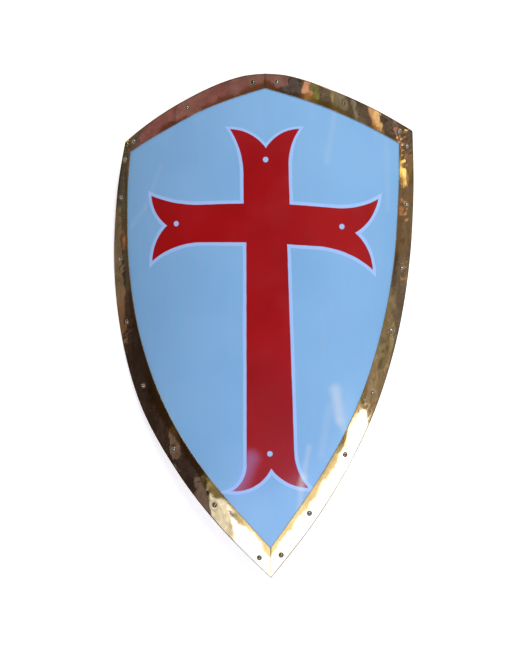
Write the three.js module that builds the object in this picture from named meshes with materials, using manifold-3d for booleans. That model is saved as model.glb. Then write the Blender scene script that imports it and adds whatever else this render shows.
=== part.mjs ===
// A steel heater shield, rolled about its long axis, with a folded brass border held by rivets and
// two leather straps behind. Millimetres, +Z up. It lies face up on its two long side edges.
//
// s runs across the flat sheet from its middle and t runs up it from the tip. Rolling the sheet
// takes (s, t) to the angle s / ROLL_RADIUS about an axis that runs the length of the shield.
import * as THREE from 'three';
import Module from 'manifold-3d';
import { mergeVertices } from 'three/addons/utils/BufferGeometryUtils.js';

const wasm = await Module();
wasm.setup();

// Plate
const LENGTH = 762;
const ROLL_RADIUS = 400;
const PLATE = 1.2;
const CENTRE_LINE = 10;

// Brass border, folded over the edge of the plate
const BRASS = 0.8;
const GAP = 0.3;
const INNER_PEAK = 740;
const INNER_TIP = 45;

// The border was cut by hand, so each half has edges of its own. Corners and top points are [s, t]
// away from the middle. At each of the heights, outer and inner say how far the brass reaches.
const HEIGHTS = [590, 480, 370, 260, 160];
const NEAR_TIP = 80;
const HALVES = {
  left: {
    side: -1,
    corner: [226, 673],
    innerCorner: [215, 656],
    top: [[26, 758.5], [75, 744], [150, 712]],
    innerTop: [[74, 715], [145, 686]],
    outer: [245, 253, 239, 201, 137],
    inner: [222, 221, 201, 156.5, 90.5],
    outerNearTip: 70.5,
    rivetsOnTop: [8, 111, 208],
    rivetsOnSide: [645, 586, 489, 390, 290, 194, 110, 31],
  },
  right: {
    side: 1,
    corner: [252.5, 683],
    innerCorner: [225.5, 662],
    top: [[45, 758.5], [92, 745], [170, 716.5]],
    innerTop: [[93, 714], [165, 687]],
    outer: [253, 243.5, 220.5, 181, 128],
    inner: [223.5, 213.5, 189, 148, 92],
    outerNearTip: 74.5,
    rivetsOnTop: [28, 130, 225],
    rivetsOnSide: [658, 567, 468, 372, 276, 184, 97, 35],
  },
};
const EDGE_STEP = 22;

// Rivets, each sitting at this share of the border's width from its outer edge
const RIVET_SHARE = 0.46;
const HEAD_RADIUS = 3.6;
const HEAD_HEIGHT = 2;
const SHANK_RADIUS = 1.6;
const TAIL_RADIUS = 2.6;
const TAIL_HEIGHT = 1;
const RIVET_SIDES = 8;
const DOME_STEPS = 3;
const HOLE_SIDES = 6;
const HOLE_RADIUS = 2.25;
const PUNCH_LENGTH = 20;

// Straps, and the staples welded behind the plate that hold their ends
const STRAPS = {
  arm: { across: -92, halfLength: 95, drop: 32 },
  grip: { across: 92, halfLength: 80, drop: 28 },
};
const STRAP_MIDDLE = 455;
const STRAP_WIDTH = 28;
const LEATHER = 3;
const FOLD_BACK = 34;
const FOLD_TAPER = 16;
const SEWN = 0.5;
const STAPLE_BAR = 4;
const STAPLE_INSIDE = 31;
const STAPLE_STAND = 10;
const EYE_RADIUS = 3.3;
const EYE_SIDES = 10;
const BOW_STEPS = 14;

// How it lies: it pitches and turns until its two side edges carry it, and the brass that the
// surface would cut is left off, which gives each edge a small flat spot
const LIE_PITCH = THREE.MathUtils.degToRad(5.8);
const LIE_TURN = THREE.MathUtils.degToRad(1.12);
const LIE_HEIGHT = 28.9;

// The rolled sheet is made of flat facets, an odd number, so that its middle is flat
const FACETS = 31;
const ROLL_SPAN = 1.34;

const FRONT = ROLL_RADIUS;
const BACK = FRONT - PLATE;
const BRASS_FRONT = FRONT + GAP + BRASS;
const BRASS_BACK = BACK - GAP - BRASS;

// Cutters reach this far past what they cut, and prisms run between these two radii
const FAR = 60;
const PRISM_BACK = 0.88 * ROLL_RADIUS;
const PRISM_FRONT = 1.3 * ROLL_RADIUS;
const SAME_POINT = 1e-4;

const PAINT = new THREE.MeshStandardMaterial({ color: '#7fadde', roughness: 0.3, metalness: 0.1 });
const BRASS_SHEET = new THREE.MeshStandardMaterial({ color: '#a8824a', roughness: 0.3, metalness: 1 });
const STEEL = new THREE.MeshStandardMaterial({ color: '#9a9690', roughness: 0.35, metalness: 1 });
const HIDE = new THREE.MeshStandardMaterial({ color: '#4d2f1d', roughness: 0.7, metalness: 0 });

// Closed geometry to a solid that can be cut and joined, and back
function toSolid(geometry) {
  const bare = geometry.clone();
  bare.deleteAttribute('normal');
  bare.deleteAttribute('uv');
  const merged = mergeVertices(bare, SAME_POINT);
  return new wasm.Manifold(new wasm.Mesh({
    numProp: 3,
    vertProperties: new Float32Array(merged.attributes.position.array),
    triVerts: new Uint32Array(merged.index.array),
  }));
}

function toGeometry(solid) {
  const { vertProperties, triVerts } = solid.getMesh();
  const geometry = new THREE.BufferGeometry();
  geometry.setAttribute('position', new THREE.BufferAttribute(new Float32Array(vertProperties), 3));
  geometry.setIndex(new THREE.BufferAttribute(new Uint32Array(triVerts), 1));
  geometry.computeVertexNormals();
  return geometry;
}

function blockSolid(low, high) {
  const size = high.map((value, i) => value - low[i]);
  const geometry = new THREE.BoxGeometry(...size);
  geometry.translate(...low.map((value, i) => value + size[i] / 2));
  return toSolid(geometry);
}

// A rolled sheet between two radii, wider and longer than the shield
function rolledSheet(innerRadius, outerRadius) {
  const angles = Array.from({ length: FACETS + 1 }, (_, i) => (i / FACETS - 0.5) * ROLL_SPAN);
  const arc = (radius) => angles.map((angle) => new THREE.Vector2(
    radius * Math.sin(angle),
    radius * Math.cos(angle) - ROLL_RADIUS,
  ));
  const section = new THREE.Shape([...arc(outerRadius).reverse(), ...arc(innerRadius)]);
  const depth = LENGTH + 2 * FAR;
  const geometry = new THREE.ExtrudeGeometry(section, { depth, bevelEnabled: false });
  geometry.rotateX(Math.PI / 2);
  geometry.translate(0, LENGTH + FAR, 0);
  return toSolid(geometry);
}

// Everything that lies radially over a flat outline, from well inside the sheet to well outside it
function radialPrism(outline) {
  const geometry = new THREE.ExtrudeGeometry(new THREE.Shape(outline), { depth: 1, bevelEnabled: false });
  const place = geometry.attributes.position;
  for (let i = 0; i < place.count; i += 1) {
    const radius = place.getZ(i) > 0 ? PRISM_FRONT : PRISM_BACK;
    const angle = place.getX(i) / ROLL_RADIUS;
    place.setX(i, radius * Math.sin(angle));
    place.setZ(i, radius * Math.cos(angle) - ROLL_RADIUS);
  }
  return toSolid(geometry);
}

// Outlines on the flat sheet
function smooth(points) {
  const curve = new THREE.SplineCurve(points.map(([s, t]) => new THREE.Vector2(s, t)));
  return curve.getSpacedPoints(Math.round(curve.getLength() / EDGE_STEP));
}

function mirrored(points, side) {
  return points.map(([s, t]) => [side * s, t]);
}

// The top and side edges of one half, outer or inner
function outerEdges(half) {
  const corner = mirrored([half.corner], half.side);
  const reach = half.outer.map((s, i) => [s, HEIGHTS[i]]);
  reach.push([half.outerNearTip, NEAR_TIP]);
  return {
    top: smooth([[CENTRE_LINE, LENGTH], ...mirrored(half.top, half.side), ...corner]),
    side: smooth([...corner, ...mirrored(reach, half.side), [CENTRE_LINE, 0]]),
  };
}

function innerEdges(half) {
  const corner = mirrored([half.innerCorner], half.side);
  const reach = half.inner.map((s, i) => [s, HEIGHTS[i]]);
  return {
    top: smooth([[CENTRE_LINE, INNER_PEAK], ...mirrored(half.innerTop, half.side), ...corner]),
    side: smooth([...corner, ...mirrored(reach, half.side), [CENTRE_LINE, INNER_TIP]]),
  };
}

// Down the left half and up the right one
function closedOutline(edges) {
  const left = edges(HALVES.left);
  const right = edges(HALVES.right);
  const down = [...left.top, ...left.side.slice(1)];
  const up = [...right.top, ...right.side.slice(1, -1)].reverse();
  return [...down, ...up.slice(0, -1)];
}

// A closed outline drawn in by a distance, with mitred corners
function inset(outline, distance) {
  const count = outline.length;
  return outline.map((point, i) => {
    const before = point.clone().sub(outline[(i + count - 1) % count]).normalize();
    const after = outline[(i + 1) % count].clone().sub(point).normalize();
    const normal = new THREE.Vector2(-before.y, before.x);
    const mitre = new THREE.Vector2(-after.y, after.x).add(normal).normalize();
    return point.clone().addScaledVector(mitre, distance / mitre.dot(normal));
  });
}

// Rivet places on the flat sheet, between the outer edge and the inner edge of the brass
function pointWhere(edge, read, wanted) {
  const next = edge.findIndex((point, i) => i > 0
    && (read(edge[i - 1]) - wanted) * (read(point) - wanted) <= 0);
  const a = edge[next - 1];
  const b = edge[next];
  return a.clone().lerp(b, (wanted - read(a)) / (read(b) - read(a)));
}

function rivetPlaces(half) {
  const outer = outerEdges(half);
  const inner = innerEdges(half);
  const innerEnd = inner.side[inner.side.length - 1];
  const readS = (point) => half.side * point.x;
  const readT = (point) => point.y;
  const onTop = half.rivetsOnTop.map((s) => pointWhere(outer.top, readS, s)
    .lerp(pointWhere(inner.top, readS, s), RIVET_SHARE));
  const onSide = half.rivetsOnSide.map((t) => {
    const within = t > innerEnd.y ? pointWhere(inner.side, readT, t) : new THREE.Vector2(CENTRE_LINE, t);
    return pointWhere(outer.side, readT, t).lerp(within, RIVET_SHARE);
  });
  return [...onTop, ...onSide];
}

// A punched hole that runs radially through the sheet at a place on it
function radialHole(place) {
  const geometry = new THREE.CylinderGeometry(HOLE_RADIUS, HOLE_RADIUS, PUNCH_LENGTH, HOLE_SIDES);
  geometry.rotateX(Math.PI / 2);
  geometry.translate(0, place.y, ROLL_RADIUS);
  geometry.rotateY(place.x / ROLL_RADIUS);
  geometry.translate(0, 0, -ROLL_RADIUS);
  return toSolid(geometry);
}

function rivetGeometry() {
  const top = GAP + BRASS + GAP;
  const bottom = -PLATE - top;
  const rise = Array.from({ length: DOME_STEPS }, (_, i) => (i * Math.PI) / (2 * DOME_STEPS));
  const dome = rise.map((angle) => new THREE.Vector2(
    HEAD_RADIUS * Math.cos(angle),
    top + HEAD_HEIGHT * Math.sin(angle),
  ));
  const geometry = new THREE.LatheGeometry([
    new THREE.Vector2(0, bottom - TAIL_HEIGHT),
    new THREE.Vector2(TAIL_RADIUS, bottom),
    new THREE.Vector2(SHANK_RADIUS, bottom),
    new THREE.Vector2(SHANK_RADIUS, top),
    ...dome,
    new THREE.Vector2(0, top + HEAD_HEIGHT),
  ], RIVET_SIDES);
  return geometry.rotateX(Math.PI / 2);
}

// The frame that lies on the rolled surface: x across, y up the shield, z outwards
function onSurface(s, t, radius) {
  const frame = new THREE.Group();
  const angle = s / ROLL_RADIUS;
  frame.position.set(radius * Math.sin(angle), t, radius * Math.cos(angle) - ROLL_RADIUS);
  frame.rotation.y = angle;
  return frame;
}

// A side view drawn as [y, z] points, made as wide as the strap and centred on it
function sideView(points, width) {
  const shape = new THREE.Shape(points.map(([y, z]) => new THREE.Vector2(y, z)));
  const geometry = new THREE.ExtrudeGeometry(shape, { depth: width, bevelEnabled: false });
  geometry.translate(0, 0, -width / 2);
  return geometry.applyMatrix4(new THREE.Matrix4().makeBasis(
    new THREE.Vector3(0, 1, 0),
    new THREE.Vector3(0, 0, 1),
    new THREE.Vector3(1, 0, 0),
  ));
}

function crossPeg(y, z, radius, length) {
  const geometry = new THREE.CylinderGeometry(radius, radius, length, EYE_SIDES);
  geometry.rotateZ(Math.PI / 2);
  geometry.translate(0, y, z);
  return toSolid(geometry);
}

// A strap hangs from its two eyes in a raised-cosine bow, and its ends are doubled back
function strapGeometry({ halfLength, drop }) {
  const bow = Array.from({ length: BOW_STEPS + 1 }, (_, i) => halfLength * ((2 * i) / BOW_STEPS - 1));
  const under = -STAPLE_STAND - EYE_RADIUS;
  const hang = (y) => under - (drop / 2) * (1 + Math.cos((Math.PI * y) / halfLength));
  const band = [
    ...bow.map((y) => [y, hang(y) - LEATHER]),
    ...bow.map((y) => [y, hang(y)]).reverse(),
  ];
  let strap = toSolid(sideView(band, STRAP_WIDTH));
  for (const end of [-1, 1]) {
    const near = halfLength - FOLD_TAPER;
    const far = near - FOLD_BACK;
    const fold = [
      [halfLength, under + SEWN],
      [far, hang(far) - SEWN],
      [far, hang(far) + LEATHER],
      [near, hang(near) + LEATHER],
      [halfLength, -STAPLE_STAND + EYE_RADIUS + LEATHER],
    ].map(([y, z]) => [end * y, z]);
    const turned = end < 0 ? fold.reverse() : fold;
    strap = strap.add(toSolid(sideView(turned, STRAP_WIDTH)));
    strap = strap.add(crossPeg(end * halfLength, -STAPLE_STAND, EYE_RADIUS + LEATHER, STRAP_WIDTH));
  }
  for (const end of [-1, 1]) {
    strap = strap.subtract(crossPeg(end * halfLength, -STAPLE_STAND, EYE_RADIUS, 2 * STRAP_WIDTH));
  }
  return toGeometry(strap);
}

// A square bar bent to a staple, with its feet on the curved plate
function stapleGeometry() {
  const inside = STAPLE_INSIDE / 2;
  const outside = inside + STAPLE_BAR;
  const foot = -GAP - outside ** 2 / (2 * ROLL_RADIUS);
  const barTop = -STAPLE_STAND + STAPLE_BAR / 2;
  const shape = new THREE.Shape([
    [-outside, barTop - STAPLE_BAR],
    [outside, barTop - STAPLE_BAR],
    [outside, foot],
    [inside, foot],
    [inside, barTop],
    [-inside, barTop],
    [-inside, foot],
    [-outside, foot],
  ].map(([x, z]) => new THREE.Vector2(x, z)));
  const geometry = new THREE.ExtrudeGeometry(shape, { depth: STAPLE_BAR, bevelEnabled: false });
  geometry.rotateX(Math.PI / 2);
  return geometry.translate(0, STAPLE_BAR / 2, 0);
}

// The frame in which the shield lies on z = 0
const lying = new THREE.Group();
lying.rotation.set(LIE_PITCH, LIE_TURN, 0);
lying.position.z = LIE_HEIGHT;
lying.updateMatrixWorld(true);

function piece(name, geometry, material, frame = lying) {
  const mesh = new THREE.Mesh(geometry, material);
  mesh.name = name;
  frame.add(mesh);
}

const outerOutline = closedOutline(outerEdges);
const outerPrism = radialPrism(outerOutline);
const innerPrism = radialPrism(closedOutline(innerEdges));
const rivets = Object.entries(HALVES).flatMap(([half, shape]) => rivetPlaces(shape).map(
  (place, i) => ({ name: `rivet_${half}_${String(i + 1).padStart(2, '0')}`, place }),
));

let plate = rolledSheet(BACK, FRONT).intersect(radialPrism(inset(outerOutline, BRASS + GAP)));
let border = rolledSheet(BRASS_BACK, BRASS_FRONT).intersect(outerPrism);
border = border.subtract(rolledSheet(BACK - GAP, FRONT + GAP)
  .intersect(radialPrism(inset(outerOutline, BRASS))));
border = border.subtract(innerPrism);
for (const { place } of rivets) {
  const hole = radialHole(place);
  plate = plate.subtract(hole);
  border = border.subtract(hole);
}

// What would be under the surface it lies on
const ground = new THREE.BoxGeometry(LENGTH, 2 * LENGTH, FAR);
ground.translate(0, 0, -FAR / 2);
ground.applyMatrix4(lying.matrixWorld.clone().invert());
border = border.subtract(toSolid(ground));

const seamLeft = CENTRE_LINE - GAP / 2;
const seamRight = CENTRE_LINE + GAP / 2;
const leftBlock = blockSolid([-LENGTH, -FAR, -LENGTH], [seamLeft, LENGTH + FAR, LENGTH]);
const rightBlock = blockSolid([seamRight, -FAR, -LENGTH], [LENGTH, LENGTH + FAR, LENGTH]);
piece('steel_plate', toGeometry(plate), PAINT);
piece('brass_border_left', toGeometry(border.intersect(leftBlock)), BRASS_SHEET);
piece('brass_border_right', toGeometry(border.intersect(rightBlock)), BRASS_SHEET);

for (const { name, place } of rivets) {
  const seat = onSurface(place.x, place.y, FRONT);
  piece(name, rivetGeometry(), STEEL, seat);
  lying.add(seat);
}

for (const [name, strap] of Object.entries(STRAPS)) {
  const seat = onSurface(strap.across, STRAP_MIDDLE, BACK);
  piece(`${name}_strap`, strapGeometry(strap), HIDE, seat);
  for (const [where, end] of [['upper', 1], ['lower', -1]]) {
    const hold = new THREE.Group();
    hold.position.y = end * strap.halfLength;
    piece(`strap_loop_${name}_${where}`, stapleGeometry(), STEEL, hold);
    seat.add(hold);
  }
  lying.add(seat);
}

// The origin is under the middle of its box
const shield = new THREE.Group();
shield.add(lying);
const middle = new THREE.Box3().setFromObject(shield, true).getCenter(new THREE.Vector3());
shield.position.set(-middle.x, -middle.y, 0);

export default shield;
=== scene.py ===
"""A painted steel heater shield with a brass border, lying face up on a pale floor.

The shield is a flat sheet rolled about its long axis. s runs across the flat sheet and t up it
from the tip, both in millimetres, and out is how far a point stands outside the painted face.
on_sheet() rolls the sheet, lays it down and gives metres in the frame.
"""
import math
import bpy
import numpy as np
from mathutils import Matrix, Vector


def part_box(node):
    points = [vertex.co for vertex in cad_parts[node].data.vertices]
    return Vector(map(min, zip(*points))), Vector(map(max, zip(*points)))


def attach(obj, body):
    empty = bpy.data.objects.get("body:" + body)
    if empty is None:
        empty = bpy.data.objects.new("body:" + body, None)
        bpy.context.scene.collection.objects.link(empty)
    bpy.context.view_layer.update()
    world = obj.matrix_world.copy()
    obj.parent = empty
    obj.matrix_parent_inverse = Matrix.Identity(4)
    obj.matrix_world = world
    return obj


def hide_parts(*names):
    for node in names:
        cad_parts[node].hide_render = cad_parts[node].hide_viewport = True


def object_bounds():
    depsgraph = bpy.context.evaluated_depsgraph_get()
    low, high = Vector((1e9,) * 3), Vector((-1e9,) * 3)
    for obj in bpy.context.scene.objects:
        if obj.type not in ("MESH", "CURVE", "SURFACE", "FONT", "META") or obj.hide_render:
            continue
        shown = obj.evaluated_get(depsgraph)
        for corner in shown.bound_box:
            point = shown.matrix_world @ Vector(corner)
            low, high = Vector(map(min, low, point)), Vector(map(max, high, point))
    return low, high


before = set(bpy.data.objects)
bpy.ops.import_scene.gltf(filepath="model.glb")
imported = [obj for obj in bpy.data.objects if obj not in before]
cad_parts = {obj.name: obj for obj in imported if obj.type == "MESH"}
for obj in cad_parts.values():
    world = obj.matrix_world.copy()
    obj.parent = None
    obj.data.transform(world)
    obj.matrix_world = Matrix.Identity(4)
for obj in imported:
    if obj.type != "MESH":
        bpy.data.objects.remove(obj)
CAD_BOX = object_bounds()

MM = 0.001

# Plate and border, in millimetres
LENGTH = 762.0
ROLL_RADIUS = 400.0
PLATE = 1.2
BRASS = 0.8
GAP = 0.3
CENTRE_LINE = 10.0
SEAM = 0.07
INNER_PEAK = 740.0
INNER_TIP = 45.0
HEIGHTS = (590, 480, 370, 260, 160)
NEAR_TIP = 80.0
HALVES = {
    "left": {
        "side": -1,
        "corner": (226, 673),
        "inner_corner": (215, 656),
        "top": ((26, 758.5), (75, 744), (150, 712)),
        "inner_top": ((74, 715), (145, 686)),
        "outer": (245, 253, 239, 201, 137),
        "inner": (222, 221, 201, 156.5, 90.5),
        "outer_near_tip": 70.5,
        "gathers": 0.035,
    },
    "right": {
        "side": 1,
        "corner": (252.5, 683),
        "inner_corner": (225.5, 662),
        "top": ((45, 758.5), (92, 745), (170, 716.5)),
        "inner_top": ((93, 714), (165, 687)),
        "outer": (253, 243.5, 220.5, 181, 128),
        "inner": (223.5, 213.5, 189, 148, 92),
        "outer_near_tip": 74.5,
        "gathers": 0.15,
    },
}
RIVETS_PER_HALF = 11

# How it lies: pitched and turned on its two side edges
LIE_PITCH = math.radians(5.8)
LIE_TURN = math.radians(1.12)
LIE_SHIFT = np.array((1.274, -379.206, 28.9))

# Grids
TOP_STEPS = 210
SIDE_STEPS = 560
LEG_STEPS = 22
RIM_SHARE = 0.006
END_SHARE = 0.1
FOLD_STEPS = 14
PLATE_ROWS = 170
PLATE_COLUMNS = 170
STRAP_POINTS = 190

# How far the plate's edge stands inside the outside of the brass
PLATE_INSET = 1.35

# Fold of the brass over the plate's edge, squarer than a half circle
FOLD_OUTSIDE = PLATE / 2 + GAP + BRASS
FOLD_INSIDE = PLATE / 2 + GAP
FOLD_SQUARENESS = 0.42
SEAM_MITRE = 7.0
CORNER_ROUNDING = 3.0

# Straps and staples
STRAPS = {
    "arm": {"across": -92, "half_length": 95, "drop": 32},
    "grip": {"across": 92, "half_length": 80, "drop": 28},
}
STRAP_MIDDLE = 455.0
STRAP_WIDTH = 28.0
LEATHER = 3.0
FOLD_BACK = 34.0
FOLD_TAPER = 16.0
STAPLE_BAR = 4.0
STAPLE_INSIDE = 31.0
STAPLE_STAND = 10.0
EYE_RADIUS = 3.3

# The cross: four arms, each with two side edges that run from root to start and then flare in an
# arc to their tip, and an end of two bulging arcs that meet in a notch
CROSS_CENTRE = np.array((10.0, 536.0))
ARM_OVERLAP = 8.0
OUTLINE_WIDTH = 5.0
ARMS = {
    "top_arm": {
        "out": (0, 1),
        "edges": (((-24.8, 566), (-24.8, 611.7), (-44.5, 679.5)), ((45, 564), (44, 622), (61.3, 678.2))),
        "notch": (10, 649.5),
        "bulges": (7.3, 7.6),
    },
    "left_arm": {
        "out": (-1, 0),
        "edges": (((-25, 566.5), (-88, 566.6), (-176.4, 585)), ((-22, 507.4), (-90, 509.2), (-176, 483.2))),
        "notch": (-148.5, 537),
        "bulges": (6.4, 6.6),
    },
    "right_arm": {
        "out": (1, 0),
        "edges": (((44, 563.9), (115, 558.8), (186.8, 574)), ((40, 503.6), (85, 500.6), (176, 464.8))),
        "notch": (147.2, 521.2),
        "bulges": (7.2, 6.8),
    },
    "bottom_arm": {
        "out": (0, -1),
        "edges": (((-21.5, 507), (-25, 170), (-47.6, 131)), ((40.6, 502), (47.5, 190), (68.3, 135.3))),
        "notch": (12.3, 165),
        "bulges": (10.6, 7.6),
    },
}
DOTS = ((9.4, 632.0), (-132.6, 539.4), (125.5, 530.5), (10.6, 187.5))
DOT_RADIUS = 4.1

# Pale streaks of painted reflection and sheen on the enamel: where each starts and ends, its half width, how
# strong it is and its colour
PALE_SHEEN = (0.55, 0.66, 0.74)
CREAM_SHEEN = (0.72, 0.74, 0.72)
BLUE_SHEEN = (0.4, 0.5, 1.0)
PAINTED_SHEEN_STREAKS = (
    ((-158, 630), (-188, 566), 7, 0.10, PALE_SHEEN),
    ((-188, 566), (-217, 538), 7, 0.12, PALE_SHEEN),
    ((115, 700), (103, 628), 8, 0.13, PALE_SHEEN),
    ((112, 282), (119, 238), 15, 0.62, PALE_SHEEN),
    ((118, 236), (125, 220), 9, 0.34, PALE_SHEEN),
    ((103, 258), (88, 186), 10, 0.16, PALE_SHEEN),
    ((70, 196), (60, 150), 8, 0.24, CREAM_SHEEN),
    ((62, 152), (56, 136), 10, 0.36, CREAM_SHEEN),
    ((58, 134), (54, 100), 9, 0.24, CREAM_SHEEN),
    ((203, 665), (204, 560), 9, 0.09, PALE_SHEEN),
    ((-18, 180), (-40, 132), 21, 0.2, BLUE_SHEEN),
)

# Crumpled places of the brass: half, s, t, radius and depth
CRUMPLES = (
    ("right", 236, 668, 20, 0.14),
    ("right", 236, 556, 11, 0.05),
    ("right", 230, 482, 14, 0.08),
    ("right", 214, 372, 15, 0.07),
    ("right", 166, 262, 16, 0.05),
    ("right", 104, 742, 12, 0.06),
    ("left", -246, 480, 11, 0.34),
    ("left", -225, 372, 16, 0.07),
    ("left", -198, 288, 11, 0.08),
    ("left", -146, 205, 16, 0.05),
    ("left", -100, 145, 16, 0.05),
)

# Places of the brass that stayed smooth, so that a reflection keeps its shape: half, s, t and radius
SMOOTH_PLACES = (
    ("right", 234, 612, 17),
    ("right", 233, 549, 18),
    ("left", -230, 515, 12),
)

# Camera, in the sheet's own frame before it is laid down, in millimetres
CAMERA_PLACE = np.array((96.87, 382.28, 1797.28))
CAMERA_YAW = 0.055
CAMERA_ROLL = -0.01189
FOCAL_PIXELS = 1191.46
PHOTO_HEIGHT = 650
FILM = 36.0


def about_y(angle):
    """The turn about y that takes z towards x."""
    c, s = math.cos(angle), math.sin(angle)
    return np.array(((c, 0, s), (0, 1, 0), (-s, 0, c)))


def lie_rotation():
    """The turn that lays the shield down: first LIE_TURN about y, then LIE_PITCH about x."""
    c, s = math.cos(LIE_PITCH), math.sin(LIE_PITCH)
    return np.array(((1, 0, 0), (0, c, -s), (0, s, c))) @ about_y(LIE_TURN)


LIE = lie_rotation()


def lay_down(points):
    """Points of the upright frame in millimetres, turned and shifted to the floor, in metres."""
    return (np.asarray(points) @ LIE.T + LIE_SHIFT) * MM


def on_sheet(s, t, out):
    """Rolls the sheet: the point at radius ROLL_RADIUS + out and angle s / ROLL_RADIUS, laid down."""
    angle = s / ROLL_RADIUS
    radius = ROLL_RADIUS + out
    rolled = np.stack((radius * np.sin(angle), t + 0 * angle, radius * np.cos(angle) - ROLL_RADIUS), axis=-1)
    return lay_down(rolled)


def to_sheet(points):
    """The inverse of on_sheet for points in metres: their s, t and out."""
    p = (np.asarray(points) / MM - LIE_SHIFT) @ LIE
    height = p[..., 2] + ROLL_RADIUS
    s = ROLL_RADIUS * np.arctan2(p[..., 0], height)
    return np.stack((s, p[..., 1], np.hypot(p[..., 0], height) - ROLL_RADIUS), axis=-1)


def seated(points, s, t, out):
    """Points of a small frame in millimetres (x across, y up the shield, z outwards) set on the sheet."""
    turn = about_y(s / ROLL_RADIUS)
    seat = (ROLL_RADIUS + out) * turn[:, 2] + (0, t, -ROLL_RADIUS)
    return lay_down(points @ turn.T + seat)


# Paths and vectors
def length(vectors):
    return np.linalg.norm(vectors, axis=-1)


def unit(vectors):
    return vectors / np.linalg.norm(vectors, axis=-1, keepdims=True)


def quarter_turned(vectors):
    """Vectors in a plane, each turned a quarter to the left."""
    return np.stack((-vectors[..., 1], vectors[..., 0]), axis=-1)


def run_along(path):
    """How far along a path each of its points lies."""
    return np.concatenate(([0], np.cumsum(length(np.diff(path, axis=0)))))


def read_off(path, places, at):
    """The points of a path at some values of a measure that is places at the path's own points."""
    return np.stack([np.interp(at, places, path[:, k]) for k in range(2)], axis=1)


def evenly(path, count):
    """A path as that many points in even steps of its length."""
    run = run_along(path)
    return read_off(path, run, np.linspace(0, run[-1], count))


# Mesh making
def grid_faces(rows, columns, close_rows=False, close_columns=False):
    """Quads of a grid whose vertex (i, j) has the number i * columns + j."""
    i = np.arange(rows if close_rows else rows - 1)[:, None]
    j = np.arange(columns if close_columns else columns - 1)[None, :]
    below, right = (i + 1) % rows, (j + 1) % columns
    corners = (i * columns + j, i * columns + right, below * columns + right, below * columns + j)
    return np.stack([c.ravel() for c in np.broadcast_arrays(*corners)], axis=1)


def tube(rings, closed=False):
    """Points and faces of a tube from rings of points, open at its ends or closed there by two fans."""
    stations, around = rings.shape[:2]
    points = rings.reshape(-1, 3)
    faces = grid_faces(stations, around, close_columns=True)
    if not closed:
        return points, faces
    j = np.arange(around)
    after = (j + 1) % around
    middle = np.full_like(j, len(points))
    last = (stations - 1) * around
    first_fan = np.stack((after, j, middle, middle), axis=1)
    last_fan = np.stack((last + j, last + after, middle + 1, middle + 1), axis=1)
    return np.vstack((points, rings[[0, -1]].mean(1))), np.vstack((faces, first_fan, last_fan))


def make_mesh(name, points, faces):
    """A mesh object at the origin from points in metres and quads, all turned over if their volume about
    the middle of the points is negative. A corner that the next one repeats is dropped."""
    a, b, c, d = (points[faces[:, k]] - points.mean(0) for k in range(4))
    volume = np.einsum("ij,ij->", a, np.cross(b, c)) + np.einsum("ij,ij->", a, np.cross(c, d))
    if volume < 0:
        faces = faces[:, ::-1]
    keep = faces != np.roll(faces, -1, axis=1)
    corners = keep.sum(1)
    starts = np.cumsum(corners) - corners
    mesh = bpy.data.meshes.new(name)
    mesh.vertices.add(len(points))
    mesh.vertices.foreach_set("co", points.astype(np.float32).ravel())
    mesh.loops.add(int(corners.sum()))
    mesh.loops.foreach_set("vertex_index", faces[keep].astype(np.int32))
    mesh.polygons.add(len(faces))
    mesh.polygons.foreach_set("loop_start", starts.astype(np.int32))
    mesh.polygons.foreach_set("use_smooth", np.ones(len(faces), bool))
    mesh.update()
    mesh.validate()
    piece = bpy.data.objects.new(name, mesh)
    bpy.context.collection.objects.link(piece)
    return piece


def store(piece, name, values):
    """A number or a vector for each vertex of a piece."""
    kind, key = ("FLOAT", "value") if values.ndim == 1 else ("FLOAT_VECTOR", "vector")
    layer = piece.data.attributes.new(name, kind, "POINT")
    layer.data.foreach_set(key, values.astype(np.float32).ravel())


# Outlines
def spline(points, steps):
    """The Catmull-Rom curve through points, in even steps of its length: steps + 1 points."""
    p = np.asarray(points, float)
    before = np.vstack((p[:1], p[:-1]))[:-1]
    after = np.vstack((p[2:], p[-1:]))
    a, b = p[:-1], p[1:]
    leave, arrive = (b - before) / 2, (after - a) / 2
    x = np.linspace(0, 1, 80, endpoint=False)[None, :, None]
    a, b, leave, arrive = (v[:, None, :] for v in (a, b, leave, arrive))
    curve = (2 * a - 2 * b + leave + arrive) * x**3
    curve = curve + (3 * b - 3 * a - 2 * leave - arrive) * x**2 + leave * x + a
    return evenly(np.vstack((curve.reshape(-1, 2), p[-1:])), steps + 1)


def border_edge(side, peak, top, corner, reach, tip):
    """One edge of a half of the border, from the peak over the corner to the tip."""
    top, corner, reach = (np.array(places) * (side, 1) for places in (top, corner, reach))
    over = spline([(CENTRE_LINE, peak), *top, corner], TOP_STEPS)
    down = spline([corner, *reach, (CENTRE_LINE, tip)], SIDE_STEPS)
    return crisp_ends(np.vstack((over, down[1:])))


def border_edges(half):
    """The outer and the inner edge of one half."""
    reach = [*zip(half["outer"], HEIGHTS), (half["outer_near_tip"], NEAR_TIP)]
    outer = border_edge(half["side"], LENGTH, half["top"], half["corner"], reach, 0)
    reach = list(zip(half["inner"], HEIGHTS))
    inner = border_edge(half["side"], INNER_PEAK, half["inner_top"], half["inner_corner"], reach, INNER_TIP)
    return outer, inner


def crisp_ends(edge):
    """The edge with its points next to both ends moved close to them, so that shading stays sharp there."""
    edge[1] = edge[0] + (edge[1] - edge[0]) * END_SHARE
    edge[-2] = edge[-1] + (edge[-2] - edge[-1]) * END_SHARE
    return edge


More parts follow.
